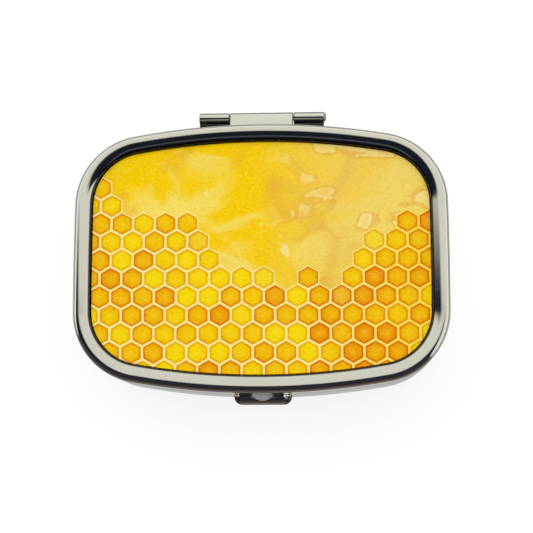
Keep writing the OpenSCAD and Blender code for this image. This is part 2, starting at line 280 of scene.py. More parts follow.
def noise(tree, where, scale, detail=2.0, stretch=(1, 1, 1), warp=0.0):
    """Cloudy value of 0 to 1. Scale is in features to the metre, and stretch multiplies it on each axis."""
    spread = put(tree, "Mapping", {0: where, 3: stretch}).outputs[0]
    inputs = {"Vector": spread, "Scale": scale, "Detail": detail, "Distortion": warp}
    return put(tree, "TexNoise", inputs).outputs[0]


def new_finish(name, color, metallic=0.0, roughness=0.4):
    """A material with its node tree, its shader and the place on the piece."""
    material = bpy.data.materials.new(name)
    material.use_nodes = True
    material.diffuse_color = color
    tree = material.node_tree
    shader = tree.nodes["Principled BSDF"]
    shader.inputs["Base Color"].default_value = color
    shader.inputs["Metallic"].default_value = metallic
    shader.inputs["Roughness"].default_value = roughness
    return material, tree, shader, put(tree, "TexCoord", {}).outputs["Object"]


def bumped(tree, shader, height, depth, strength=1.0):
    """Give the shader a relief of the given depth in metres."""
    relief = put(tree, "Bump", {"Height": height, "Distance": depth, "Strength": strength})
    tree.links.new(relief.outputs[0], shader.inputs["Normal"])


def frosted_highlight_place(tree, x, y, height, where):
    """1 in the button's half-moon scoop, where the nickel is frosted and painted pale as a painted highlight:
    over its floor, within its round wall and in front of the shell.
    """
    half_w, front_y, floor_z = 1.9 * MM, -20.2 * MM, 7.45 * MM
    centre, radius = (0, -18.7 * MM, 0), 2.31 * MM
    distance = vectors(tree, "DISTANCE", vectors(tree, "MULTIPLY", where, (1, 1, 0)), centre, out=1)
    place = maths(tree, "LESS_THAN", maths(tree, "ABSOLUTE", x), half_w)
    place = maths(tree, "MULTIPLY", place, maths(tree, "LESS_THAN", y, front_y))
    place = maths(tree, "MULTIPLY", place, maths(tree, "GREATER_THAN", height, floor_z))
    place = maths(tree, "MULTIPLY", place, ramp(tree, height, 8.02 * MM, 7.96 * MM))
    return maths(tree, "MULTIPLY", place, maths(tree, "LESS_THAN", distance, radius))


def nickel_plate():
    """Bright nickel: warm grey, nearly a mirror, clouded by haze and by fine polishing lines. By place, shade
    is
    painted into its colour: dark at the foot of the lid's ring, in the hinge and at the two ends of the
    button.
    In the scoop it is frosted, not metal, and painted pale lilac as a painted highlight."""
    material, tree, shader, where = new_finish("polished_nickel", (0.80, 0.79, 0.71, 1), metallic=1.0)
    x, y, height = split(tree, where)
    far_x = maths(tree, "ABSOLUTE", x)
    haze = noise(tree, where, 130, 3, warp=0.4)
    lines = noise(tree, where, 900, 4, stretch=(0.5, 9, 3))
    tone = tinted(tree, haze, (0.79, 0.78, 0.69, 1), (0.86, 0.85, 0.78, 1))

    # The ring's inner foot, where the surface faces the middle of the lid: painted shade, dark like the
    # recess's shadow and reflection there
    facing = vectors(tree, "MULTIPLY", where.node.outputs["Normal"], where)
    facing_x, facing_y, _ = split(tree, facing)
    inner = maths(tree, "LESS_THAN", maths(tree, "ADD", facing_x, facing_y), 0.0)
    shaded_foot = band(tree, height, (13.5 * MM, 13.7 * MM), (15.12 * MM, 15.2 * MM))
    tone = tinted(tree, maths(tree, "MULTIPLY", shaded_foot, inner), tone, (0.05, 0.045, 0.05, 1))

    # The hinge, painted shade: dark under the outer knuckles, along the back of the barrels, and in the
    # joints between them
    joint_x = 4.9 * MM
    outer = maths(tree, "GREATER_THAN", far_x, joint_x)
    nook = band(tree, y, (20.3 * MM, 20.5 * MM), (21.75 * MM, 22.15 * MM))
    tone = tinted(tree, maths(tree, "MULTIPLY", nook, outer), tone, (0.07, 0.065, 0.065, 1))
    tone = tinted(tree, ramp(tree, y, 22.82 * MM, 23.0 * MM), tone, (0.16, 0.15, 0.15, 1))
    joint = near(tree, far_x, joint_x, 0.2 * MM, 0.1 * MM)
    joint = maths(tree, "MULTIPLY", joint, ramp(tree, y, 20.4 * MM, 20.6 * MM))
    tone = tinted(tree, joint, tone, (0.05, 0.045, 0.045, 1))

    # The two ends of the button: painted shade, a dark colour standing in for the dark reflection there
    shaded_tips = ramp(tree, far_x, 3.2 * MM, 3.7 * MM)
    shaded_tips = maths(tree, "MULTIPLY", shaded_tips, ramp(tree, y, -20.27 * MM, -20.32 * MM))
    tone = tinted(tree, shaded_tips, tone, (0.14, 0.12, 0.12, 1))

    # The scoop: frosted and not metal, and painted pale lilac, a painted highlight standing in for the light
    # it mirrors
    frost_and_highlight = frosted_highlight_place(tree, x, y, height, where)
    tree.links.new(tinted(tree, frost_and_highlight, tone, (0.97, 0.93, 1.0, 1)), shader.inputs["Base Color"])
    tree.links.new(maths(tree, "SUBTRACT", 1.0, frost_and_highlight), shader.inputs["Metallic"])
    worn = ramp(tree, lines, 0.45, 0.75, 0.0, 0.05)
    smeared = ramp(tree, haze, 0.45, 0.7, 0.035, 0.085)
    rough = maths(tree, "MULTIPLY_ADD", frost_and_highlight, 0.4, maths(tree, "ADD", worn, smeared))
    tree.links.new(rough, shader.inputs["Roughness"])
    bumped(tree, shader, maths(tree, "ADD", lines, noise(tree, where, 350, 2)), 0.4e-6)
    return material


polished_nickel = nickel_plate()


def stadium(centre, half_length, half_height, count=24):
    """A pill-shaped loop in (height, x): two half circles joined by straight sides."""
    reach = half_length - half_height
    return closed_path(
        ((centre, reach), half_height, 0, 180, count),
        ((centre, -reach), half_height, 180, 180, count),
    )


hold_in = 0.12 * MM


def bed(section, low, high):
    """A dish or lid: the section carried round the outline, closed by a middle below and one above. A ring a
    little inside each end of the section keeps the flat middles flat in the shading."""
    ends = section[[0, -1]] - (hold_in, 0)
    grid = carried(outline(fine=2), np.concatenate([ends[:1], section, ends[1:]]))
    under = middle(grid[0], [0, 0.5], [low, low])
    over = middle(grid[-1], [0.5, 0], [high, high])
    grid = np.concatenate([under, grid, over])
    return grid, quads(*grid.shape[:2])


panel_in, panel_up = 6 * MM, 0.15 * MM
base_section = np.concatenate([
    [[-panel_in - 0.6 * MM, panel_up], [-panel_in - 0.15 * MM, panel_up * 0.9]],
    [[-panel_in + 0.15 * MM, panel_up * 0.1], [-panel_in + 0.6 * MM, 0]],
    closed_path(
        ((-foot_r, foot_r), foot_r, -90, 90, 16),
        ((-rim_edge, base_h - rim_edge), rim_edge, 0, 90, 5),
        ((rim_edge - wall_t, base_h - rim_edge), rim_edge, 90, 90, 5),
        ((-foot_r, foot_r), wall_t - foot_r, 180, -90, 12),
    )[0],
])
base_shell = solid("drawn_base", *bed(base_section, panel_up, floor_t))

button_low, button_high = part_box("latch_button")
button_w, button_h = 8.8 * MM, 3.2 * MM
button_z = button_high.z - button_h / 2
window_fit = 0.15 * MM
window = stadium(button_z, button_w / 2 + window_fit, button_h / 2 + window_fit)
flare = 0.22 * MM
turn = np.radians(np.linspace(0, 80, 7))
window_section = np.stack([flare * (1 - np.sin(turn)), front(0.0) + flare * (1 - np.cos(turn))], 1)
window_section = np.concatenate([[[flare, front(-MM)]], window_section, [[0, front(foot_r)]]])
worked(base_shell, "DIFFERENCE", plug("window_tool", carried(window, window_section), ALONG_Y))
polished(base_shell)
mounted(base_shell, "base", polished_nickel, "base_shell")

# ---- Collar ----
# A strip of plated sheet rolled to the outline and spot-welded inside the base's rim. It stands a
# millimetre proud to centre the lid, and its two ends leave a gap at the front for the hook.


def satin_metal(name, color, along, roughness):
    """Plated sheet that wasn't polished: fine drawing lines along one axis and dull patches."""
    material, tree, shader, where = new_finish(name, color, metallic=1.0, roughness=roughness)
    stretch = [9.0, 9.0, 9.0]
    stretch[along] = 0.35
    lines = noise(tree, where, 700, 4, stretch=stretch)
    dull = noise(tree, where, 220, 3)
    dark = tuple(0.82 * c for c in color[:3]) + (1,)
    tree.links.new(tinted(tree, lines, dark, color), shader.inputs["Base Color"])
    streaks = ramp(tree, lines, 0.3, 0.7, 0, 0.12)
    patches = ramp(tree, dull, 0.3, 0.7, roughness, roughness + 0.1)
    tree.links.new(maths(tree, "ADD", streaks, patches), shader.inputs["Roughness"])
    bumped(tree, shader, lines, 2e-6)
    return material


def rounded(corners, radius, count=6):
    """Closed polygon, anticlockwise, with each corner an arc tangent to its two sides: the arc's centre is
    the corner moved in by radius * (n1 + n2) / (1 + n1.n2), where n1 and n2 are the sides' outward normals.
    There is one radius for all corners, or one for each."""
    corners = np.asarray(corners, float)
    side = np.roll(corners, -1, 0) - corners
    side /= np.linalg.norm(side, axis=1)[:, None]
    leaving = np.stack([side[:, 1], -side[:, 0]], 1)
    coming = np.roll(leaving, 1, 0)
    dot = (coming * leaving).sum(1)
    turn = np.arctan2(coming[:, 0] * leaving[:, 1] - coming[:, 1] * leaving[:, 0], dot)
    radius = np.broadcast_to(radius, len(corners)) * np.sign(turn)
    centre = corners - (radius / (1 + dot))[:, None] * (coming + leaving)
    angle = np.arctan2(coming[:, 1], coming[:, 0])[:, None] + turn[:, None] * np.linspace(0, 1, count)
    normal = np.stack([np.cos(angle), np.sin(angle)], 2)
    points = centre[:, None] + radius[:, None, None] * normal
    return points.reshape(-1, 2), normal.reshape(-1, 2)


satin_steel = satin_metal("satin_plated_steel", (0.66, 0.66, 0.64, 1), 0, 0.24)
collar_in, collar_t = wall_t + 0.02 * MM, 0.5 * MM
collar_low, collar_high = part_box("base_collar")
collar_gap = 2.8 * MM
collar_section = rounded([
    (-collar_in - collar_t, collar_low.z), (-collar_in, collar_low.z),
    (-collar_in, collar_high.z), (-collar_in - collar_t, collar_high.z),
], np.array([0.05, 0.05, 0.2, 0.12]) * MM)[0]
collar_grid = carried(outline(gap=collar_gap), collar_section)
rows, columns = collar_grid.shape[:2]
collar_faces = quads(rows, columns, wrap_rows=True, wrap_columns=False)
strip_end = np.arange(rows) * columns
collar_faces += [strip_end.tolist(), (strip_end[::-1] + columns - 1).tolist()]
collar = solid("rim_collar", collar_grid, collar_faces)
polished(collar)
mounted(collar, "base", satin_steel, "base_collar")

# ---- Pill tray ----
# White polypropylene moulding that drops into the base: one wall all round, a divider between the
# two compartments, rounded wells for fingers, and a step round the catch at the front.


def moulded_plastic(name, color, roughness, sheen):
    """Moulded white plastic: spark-eroded grain, faint flow marks and scuffs in the roughness."""
    material, tree, shader, where = new_finish(name, color, roughness=roughness)
    flow = noise(tree, where, 60, 3, stretch=(1, 2.5, 1), warp=1.5)
    grain = noise(tree, where, 5200, 2)
    warm = tuple(c * k for c, k in zip(color[:3], (0.955, 0.95, 0.93))) + (1,)
    tree.links.new(tinted(tree, ramp(tree, flow, 0.3, 0.75), color, warm), shader.inputs["Base Color"])
    pitted = ramp(tree, grain, 0.3, 0.7, -sheen, sheen)
    scuffed = ramp(tree, flow, 0.35, 0.7, roughness, roughness + 0.08)
    tree.links.new(maths(tree, "ADD", pitted, scuffed), shader.inputs["Roughness"])
    shader.inputs["Subsurface Weight"].default_value = 0.15
    shader.inputs["Subsurface Radius"].default_value = (0.0012, 0.0011, 0.001)
    shader.inputs["Subsurface Scale"].default_value = 1.0
    bumped(tree, shader, maths(tree, "ADD", grain, flow), 4e-6)
    return material


def shrunk(path, inset):
    """A path moved in along its normals."""
    return path[0] - inset * path[1], path[1]


tray_plastic = moulded_plastic("white_polypropylene", (0.86, 0.86, 0.84, 1), 0.34, 0.05)
tray_low, tray_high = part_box("pill_tray")
tray_in, tray_t, tray_r = 1.5 * MM, 0.8 * MM, 1.5 * MM
tray_edge = 0.25 * MM
tray_section = closed_path(
    ((-tray_in - tray_r, tray_low.z + tray_r), tray_r, -90, 90, 12),
    ((-tray_in - tray_edge, tray_high.z - tray_edge), tray_edge, 0, 90, 6),
)[0]
tray = solid("two_part_tray", *bed(tray_section, tray_low.z, tray_high.z))

divider_t = 0.9 * MM
notch_w, notch_in = 11.4 * MM, 7.2 * MM
well_in = tray_in + tray_t
well_edge = divider_t / 2
step_x, step_y = notch_w / 2 + tray_t, front(notch_in + tray_t)


def well(side):
    """Loop of one compartment, at the right or, for a side of -1, at the left: the outline moved in, the
    divider, and the step round the catch. Each corner between a bow and a straight wall is an arc tangent to
    both."""
    points, normals = shrunk(outline(fine=2), well_in)
    wide, small, tight = 2.2 * MM, 1.2 * MM, 1.0 * MM
    reach = bow_r - well_in
    back_x = well_edge + wide
    back_y = bow_y + np.sqrt((reach - wide) ** 2 - back_x ** 2)
    back_a = np.degrees(np.arctan2(back_y - bow_y, back_x))
    front_x = step_x + small
    front_y = -bow_y - np.sqrt((reach - small) ** 2 - front_x ** 2)
    front_a = np.degrees(np.arctan2(front_y + bow_y, front_x))
    angle = np.degrees(np.arctan2(normals[:, 1], normals[:, 0]))
    kept = (angle > front_a) & (angle < back_a) & (points[:, 0] > 0)
    first = np.argmax(kept & ~np.roll(kept, 1))
    order = (np.arange(len(angle)) + first) % len(angle)
    order = order[kept[order]]
    wall = points[order], normals[order]
    rest = closed_path(
        ((back_x, back_y), wide, back_a, 180 - back_a, 9),
        ((well_edge + wide, step_y + wide), wide, 180, 90, 9),
        ((step_x - tight, step_y - tight), -tight, -90, -90, 9),
        ((front_x, front_y), small, 180, 180 + front_a, 9),
    )
    loop = np.concatenate([wall[0], rest[0]]), np.concatenate([wall[1], rest[1]])
    if side < 0:
        loop = loop[0][::-1] * (-1, 1), loop[1][::-1] * (-1, 1)
    return loop


def well_tool(side):
    """Cutter for a compartment: rounded at the floor and flared at the brim."""
    floor_r = 0.95 * MM
    floor_z = tray_low.z + tray_t
    section = closed_path(
        ((-floor_r, floor_z + floor_r), floor_r, -90, 90, 9),
        ((tray_edge, tray_high.z - tray_edge), -tray_edge, 180, -88, 7),
    )[0]
    section = np.concatenate([[[-floor_r - hold_in, floor_z]], section, [[tray_edge, tray_high.z + MM]]])
    return plug("well_tool", carried(well(side), section), ALONG_Z)


def end_faces(loops, flip):
    """Triangles of a flat end bounded by one outer loop and any holes. They face up, or down if flipped."""
    corners = np.concatenate(loops)
    triangles = np.array(tessellate_polygon([[Vector((x, y, 0)) for x, y in loop] for loop in loops]))
    a, b, c = (corners[triangles[:, i]] for i in range(3))
    area = (b[:, 0] - a[:, 0]) * (c[:, 1] - a[:, 1]) - (b[:, 1] - a[:, 1]) * (c[:, 0] - a[:, 0])
    wrong = (area < 0) ^ flip
    triangles[wrong] = triangles[wrong][:, ::-1]
    return triangles


def bar(name, loops, start, end, edges, axes):
    """A solid with one section all along an axis. Its two ends are rounded: over a quarter turn t the loop
    moves in by edge * (1 - sin t) while the depth grows by edge * (1 - cos t). The first loop is the outside,
    and later loops are holes."""
    turn = np.radians(np.linspace(0, 90, 6))
    rise, shrink = 1 - np.cos(turn), 1 - np.sin(turn)
    depth = np.concatenate([start + edges[0] * rise, end - edges[1] * rise[::-1]])
    outward = -np.concatenate([edges[0] * shrink, edges[1] * shrink[::-1]])
    grids = [carried(loop, np.stack([outward, depth], 1)) for loop in loops]
    points, faces, count = [], [], 0
    first, last = [], []
    for grid in grids:
        rows, columns = grid.shape[:2]
        faces += [[corner + count for corner in face] for face in quads(rows, columns)]
        points.append(grid.reshape(-1, 3))
        first.append(np.arange(columns) + count)
        last.append(np.arange(columns) + count + (rows - 1) * columns)
        count += rows * columns
    points = np.concatenate(points)
    for ends, flip in ((first, True), (last, False)):
        triangles = end_faces([points[end, :2] for end in ends], flip)
        faces += np.concatenate(ends)[triangles].tolist()
    return solid(name, points[:, axes], faces)


def box_loop(x0, x1, y0, y1, radius, count=6):
    """Rounded rectangle. Corners go anticlockwise from (x0, y0)."""
    return rounded([(x0, y0), (x1, y0), (x1, y1), (x0, y1)], radius, count)


def notch_tool():
    """Cutter for the step at the front: upright, with rounded inner corners."""
    corners = np.array([0.1, 0.1, 0.9, 0.9]) * MM
    loop = box_loop(-notch_w / 2, notch_w / 2, front(-2 * MM), front(notch_in), corners, 9)
    return bar("notch_tool", [loop], -MM, base_h + MM, (0.05 * MM, 0.05 * MM), ALONG_Z)


worked(tray, "DIFFERENCE", well_tool(1), well_tool(-1), notch_tool())
polished(tray)
mounted(tray, "base", tray_plastic, "pill_tray")

# ---- Catch: bracket, leaf spring and rivet ----
# A pressed steel bracket is welded to the floor. A strip of blued spring steel stands between its
# cheeks as catch and return spring, held at its foot by a domed rivet.

bracket_low, bracket_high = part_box("latch_bracket")
bracket_t = 0.5 * MM
plate_z = bracket_low.z + bracket_t
leaf_low, leaf_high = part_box("latch_leaf")
rivet_low, rivet_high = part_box("latch_rivet")
rivet_y = (rivet_low.y + rivet_high.y) / 2
thin = 0.08 * MM

bracket_corners = np.array([0.3, 0.3, 1.4, 1.4]) * MM
cheek_corners = np.array([0.1, 0.1, 0.7, 0.7]) * MM
plate_loop = box_loop(bracket_low.x, bracket_high.x, bracket_low.y, bracket_high.y, bracket_corners, 9)
cheek_loop = box_loop(bracket_low.y, rivet_low.y, bracket_low.z + thin, bracket_high.z, cheek_corners, 9)
bracket = bar("catch_bracket", [plate_loop], bracket_low.z, plate_z, (thin, thin), ALONG_Z)
cheek_x = 2.3 * MM
cheeks = [
    bar("cheek", [cheek_loop], x, x + bracket_t, (thin, thin), ALONG_X)
    for x in (cheek_x, -cheek_x - bracket_t)
]
worked(bracket, "UNION", *cheeks)
polished(bracket)
mounted(bracket, "base", satin_steel, "latch_bracket")

leaf_t = 0.25 * MM
leaf_edge = 0.04 * MM
upright_y = front(3.0 * MM)
hole_r = 0.52 * MM
leaf_loop = rounded([
    (upright_y, leaf_low.z), (leaf_high.y, leaf_low.z), (leaf_high.y, leaf_low.z + leaf_t),
    (upright_y + leaf_t, leaf_low.z + leaf_t), (upright_y + leaf_t, leaf_high.z),
    (leaf_low.y, leaf_high.z), (leaf_low.y, leaf_high.z - leaf_t), (upright_y, leaf_high.z - leaf_t),
], np.array([0.55, 0.08, 0.08, 0.3, 0.55, 0.08, 0.08, 0.3]) * MM, 8)
leaf = bar("catch_leaf_spring", [leaf_loop], leaf_low.x, leaf_high.x, (leaf_edge, leaf_edge), ALONG_X)
hole_loop = closed_path(((0, rivet_y), hole_r, 0, 360, 41))
hole = bar("rivet_hole", [hole_loop], leaf_low.z - MM, leaf_low.z + MM, (0.01 * MM, 0.01 * MM), ALONG_Z)
worked(leaf, "DIFFERENCE", hole)

# Level cuts across the strip, bend_step apart
bend_step = 0.3 * MM
bending = bmesh.new()
bending.from_mesh(leaf.data)
for level in np.arange(leaf_low.z, leaf_high.z, bend_step)[1:]:
    everything = bending.verts[:] + bending.edges[:] + bending.faces[:]
    bmesh.ops.bisect_plane(bending, geom=everything, plane_co=(0, 0, level), plane_no=(0, 0, 1))
bending.to_mesh(leaf.data)
bending.free()
polished(leaf)
spring_steel = satin_metal("blued_spring_steel", (0.42, 0.44, 0.50, 1), 2, 0.2)
finished(leaf, spring_steel, "latch_leaf")
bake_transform(leaf)


def turned(name, section, centre, axes):
    """A solid of revolution: (radius, height) points turned round an axis through centre and closed at its
    poles. Axes are as for bar()."""
    angle = np.radians(np.linspace(0, 360, 65)[:-1])
    ring = np.stack([np.cos(angle), np.sin(angle)], 1)
    grid = carried((np.zeros_like(ring), ring), np.asarray(section)) + np.asarray(centre)
    return solid(name, grid.reshape(-1, 3)[:, axes], quads(*grid.shape[:2]))


def domed(radius, height, count=9):
    """(radius, height) points of a round head, from its rim to its pole: an ellipse's quarter."""
    angle = np.radians(np.linspace(0, 90, count))
    return np.stack([radius * np.cos(angle), height * np.sin(angle)], 1)


rivet_r = 0.5 * MM
head_z = plate_z + leaf_t
head = domed(rivet_high.x, rivet_high.z - head_z) + (0, head_z)
rivet_section = np.concatenate([
    [[0, rivet_low.z], [rivet_r - 0.05 * MM, rivet_low.z], [rivet_r, rivet_low.z + 0.05 * MM]],
    [[rivet_r, head_z], [rivet_high.x * 0.97, head_z]],
    head,
])
rivet = turned("catch_rivet", rivet_section, (0, rivet_y, 0), ALONG_Z)
polished(rivet)
drawn_wire = satin_metal("drawn_wire", (0.60, 0.60, 0.58, 1), 0, 0.18)
mounted(rivet, "base", drawn_wire, "latch_rivet")

# ---- Push button ----
# A solid die-cast button, plated and polished like the shell. It has a rounded face, a half-moon
# scoop for a fingernail beside the lid, a flange that keeps it in its window, and a pusher.

button_edge = 1.2 * MM
flange_y, flange_t = front(1.05 * MM), 0.45 * MM
pusher_w, pusher_h = 4.4 * MM, 2.2 * MM
soft = 0.12 * MM
sliver = 0.02 * MM
button = bar("push_button", [stadium(button_z, button_w / 2, button_h / 2, 32)],
             button_low.y, flange_y + flange_t / 2, (button_edge, sliver), ALONG_Y)
flange_loop = box_loop(button_low.z, button_high.z - sliver, button_low.x, button_high.x, 0.5 * MM)
flange = bar("flange", [flange_loop], flange_y, flange_y + flange_t, (soft, soft), ALONG_Y)
pusher_low, pusher_high = button_z - pusher_h / 2, button_z + pusher_h / 2
pusher_loop = box_loop(pusher_low, pusher_high, -pusher_w / 2, pusher_w / 2, 0.3 * MM)
pusher = bar("pusher", [pusher_loop], flange_y + soft, button_high.y, (soft, soft), ALONG_Y)
worked(button, "UNION", flange, pusher)

# The scoop is a round pocket with its floor tipped by a degree. The part of its cutter that lies inside the
# box is taken away first
scoop_r, scoop_out, scoop_deep = 2.3 * MM, 0.75 * MM, 0.5 * MM
scoop_y, scoop_z = front(scoop_r - scoop_out), button_high.z - scoop_deep
scoop_loop = closed_path(((0, scoop_y), scoop_r, 0, 360, 81))
scoop = bar("scoop_tool", [scoop_loop], scoop_z, scoop_z + 3 * MM, (0.35 * MM, sliver), ALONG_Z)
pivot = Matrix.Translation((0, front(-scoop_out), scoop_z))
scoop.data.transform(pivot @ Matrix.Rotation(np.radians(1), 4, "X") @ pivot.inverted())
inside_loop = box_loop(-6 * MM, 6 * MM, front(0.7 * MM), 0, 0.1 * MM)
inside = bar("inside_tool", [inside_loop], 0, button_high.z + 5 * MM, (0.1 * MM, 0.1 * MM), ALONG_Z)
worked(scoop, "DIFFERENCE", inside)
worked(button, "DIFFERENCE", scoop)
polished(button, 30)
mounted(button, "button", polished_nickel, "latch_button")

# ---- Base knuckles ----
# Two strips of the same sheet rolled into tubes and brazed by their webs to the back of the base.
# They grip the pin.

hinge_y, hinge_z = frame["joints"][0]["pos_m"][1:]
barrel_r = 0.8 * MM
pin_r = 0.42 * MM
pin_grip = 0.01 * MM
pin_run = 0.04 * MM
creep = 0.05 * MM
knuckle_edge = 0.1 * MM
hinge_out = hinge_y - box_d / 2


def bore(radius):
    """Round hole through a knuckle, run backwards because the metal is outside it."""
    return closed_path(((0, 0), -radius, 360, -360, 41))


def moved(loops, y, z):
    """Loops drawn round the hinge's axis, put at the axis."""
    return [(points + (y, z), normals) for points, normals in loops]


def base_knuckle_loop():
    """Tube with a web at its foot: a circle, a hollow arc tangent to it and to the web's top, and the web."""
    web_top, web_low, web_end = -0.2 * MM, -barrel_r, -hinge_out - 0.85 * MM
    weld = 0.3 * MM
    weld_x = -np.sqrt((barrel_r + weld) ** 2 - (web_top + weld) ** 2)
    weld_a = np.degrees(np.arctan2(web_top + weld, weld_x))
    tip = 0.12 * MM
    return closed_path(
        ((0, 0), barrel_r, -90, 90 + weld_a, 40),
        ((weld_x, web_top + weld), -weld, weld_a, 90 - weld_a, 7),
        ((web_end + tip, web_top - tip), tip, 90, 90, 3),
        ((web_end + tip, web_low + tip), tip, 180, 90, 3),
    )


for name in ("hinge_knuckle_left", "hinge_knuckle_right"):
    low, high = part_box(name)
    loops = moved([base_knuckle_loop(), bore(pin_r + pin_grip)], hinge_y, hinge_z)
    start, end = (low.x, high.x + creep) if high.x < 0 else (low.x - creep, high.x)
    knuckle = bar(name.replace("hinge", "rolled"), loops, start, end, (knuckle_edge, knuckle_edge), ALONG_X)
    polished(knuckle)
    mounted(knuckle, "base", polished_nickel, name)

# ---- Hinge pin ----
# Drawn steel wire, pushed through the three knuckles from the right until its domed head meets
# them. Its left end is cut flush and lightly chamfered.

pin_low, pin_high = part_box("hinge_pin")
head_l = 0.32 * MM
head_x = pin_high.x - head_l
head_r = 0.72 * MM
pin_section = np.concatenate([
    [[0, pin_low.x], [pin_r - 0.08 * MM, pin_low.x], [pin_r, pin_low.x + 0.08 * MM], [pin_r, head_x]],
    [[head_r - 0.04 * MM, head_x], [head_r, head_x + 0.04 * MM]],
    domed(head_r, head_l - 0.06 * MM) + (0, head_x + 0.06 * MM),
])
pin = turned("hinge_wire", pin_section, (hinge_y, hinge_z, 0), ALONG_X)
polished(pin, 32)
mounted(pin, "base", drawn_wire, "hinge_pin")

# ---- Lid shell ----
# The upper half: one sheet drawn into a straight side, a rounded ring and a sunk floor for the
# picture, then plated and polished. The ring carries most of the box's shine.

lid_low, lid_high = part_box("lid_shell")
lid_t = 0.7 * MM
crown_r = 1.3 * MM
crown_z = lid_high.z - crown_r

# The ring's section from outside to inside: a round nose, a brow that slopes gently towards the picture, and
# a brink over the recess
nose_r, brow_r, brink_r, brow = 0.88 * MM, 4.09 * MM, 0.3 * MM, 22
lean = np.radians(90 + brow)
brink = (-nose_r + (brow_r - brink_r) * np.cos(lean), lid_high.z - brow_r + (brow_r - brink_r) * np.sin(lean))
glue_low, glue_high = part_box("print_adhesive")
recess_z = glue_low.z
ceiling_z = recess_z - lid_t
bend_r = 0.55 * MM
nook = 0.12 * MM
leg_in = 2 * crown_r - lid_t
lid_section = closed_path(
    ((-leg_in - bend_r, ceiling_z + bend_r), bend_r, -90, 90, 9),
    ((-crown_r, crown_z), lid_t - crown_r, 0, -180, 25),
    ((-lid_t + rim_edge, lid_low.z + rim_edge), rim_edge, 180, 90, 5),
    ((-rim_edge, lid_low.z + rim_edge), rim_edge, 270, 90, 5),
    ((-nose_r, lid_high.z - nose_r), nose_r, 0, 90, 41),
    ((-nose_r, lid_high.z - brow_r), brow_r, 90, brow, 15),
    (brink, brink_r, 90 + brow, 90 - brow, 15),
    ((-2 * crown_r - nook, recess_z + nook), -nook, 180, -90, 5),
)[0]
lid_shell = solid("drawn_lid", *bed(lid_section, ceiling_z, recess_z))
polished(lid_shell)
mounted(lid_shell, "lid", polished_nickel, "lid_shell")

# ---- Lid knuckle ----
# A flat leaf brazed to the back of the lid and rolled round the pin. A stop under its barrel meets
# the base when the lid is fully open.

leaf_slope = 18
stop_t = 1.15 * MM
knuckle_low, knuckle_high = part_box("lid_knuckle")


def lid_knuckle_loop():
    """Anticlockwise from the foot of the stop: the barrel, the leaf's sloping top, which leaves the barrel
    along its tangent, the leaf's underside, and a hollow arc where that meets the barrel."""
    stop_z = knuckle_low.z - hinge_z
    wall = -hinge_out - 0.35 * MM
    slope = np.radians(leaf_slope)
    under = 0.25 * MM
    top = (barrel_r - wall * np.sin(slope)) / np.cos(slope)
    root, tip, toe = 0.1 * MM, 0.12 * MM, 0.25 * MM
    root_x = -np.sqrt((barrel_r + root) ** 2 - (under - root) ** 2)
    root_a = np.degrees(np.arctan2(under - root, root_x))
    stop_x = barrel_r - stop_t
    heel = 0.05 * MM
    heel_x = stop_x - heel
    heel_z = -np.sqrt((barrel_r + heel) ** 2 - heel_x ** 2)
    heel_a = np.degrees(np.arctan2(heel_z, heel_x)) + 360
    return closed_path(
        ((stop_x + toe, stop_z + toe), toe, 180, 90, 7),
        ((barrel_r - toe, stop_z + toe), toe, 270, 90, 7),
        ((0, 0), barrel_r, 0, 90 - leaf_slope, 20),
        ((wall + tip, top - tip), tip, 90 - leaf_slope, 90 + leaf_slope, 4),
        ((wall + tip, under + tip), tip, 180, 90, 4),
        ((root_x, under - root), -root, 270, root_a - 270, 6),
        ((0, 0), barrel_r, root_a, heel_a - root_a, 16),
        ((heel_x, heel_z), -heel, heel_a, 180 - heel_a, 4),
    )


loops = moved([lid_knuckle_loop(), bore(pin_r + pin_run)], hinge_y, hinge_z)
lid_knuckle = bar("rolled_lid_knuckle", loops, knuckle_low.x - creep, knuckle_high.x + creep,
                  (knuckle_edge, knuckle_edge), ALONG_X)
polished(lid_knuckle)
mounted(lid_knuckle, "lid", polished_nickel, "lid_knuckle")

# ---- Hook ----
# A bent steel hook welded inside the lid's front wall. Its bevelled nose pushes the leaf spring
# back and snaps under its lip.

hook_low, hook_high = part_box("lid_hook")
face_y, hook_y, nose_y = front(0.6 * MM), front(1.05 * MM), front(1.85 * MM)
weld_z = lid_low.z + 0.12 * MM
nose_h, hook_edge = 0.6 * MM, 0.06 * MM
hook_loop = rounded([
    (hook_y, hook_low.z), (nose_y + 0.35 * MM, hook_low.z), (hook_high.y, hook_low.z + nose_h / 2),
    (hook_high.y, hook_low.z + nose_h), (nose_y, hook_low.z + nose_h), (nose_y, hook_high.z),
    (face_y, hook_high.z), (face_y, weld_z), (hook_y, weld_z),
], np.array([0.12, 0.15, 0.08, 0.08, 0.1, 0.15, 0.08, 0.08, 0.08]) * MM)
hook = bar("catch_hook", [hook_loop], hook_low.x, hook_high.x, (hook_edge, hook_edge), ALONG_X)
polished(hook)
mounted(hook, "lid", satin_steel, "lid_hook")

# ---- Mirror: adhesive, glass and frame ----
# A glass mirror is stuck to the lid's ceiling by a foam film. A glossy white moulding presses into
# the lid round it, with a lip over the edge of the glass.


def slab(name, inset, z0, z1, edges):
    """A plate of the box's outline, moved in by an inset, with rounded edges below and above."""
    section = closed_path(
        ((-inset - edges[0], z0 + edges[0]), edges[0], -90, 90, 6),
        ((-inset - edges[1], z1 - edges[1]), edges[1], 0, 90, 6),
    )[0]
    return solid(name, *bed(section, z0, z1))


def srgb(red, green, blue):
    """Linear colour from display values of 0 to 255."""
    value = np.array([red, green, blue]) / 255
    linear = np.where(value > 0.04045, ((value + 0.055) / 1.055) ** 2.4, value / 12.92)
    return (*linear.tolist(), 1.0)


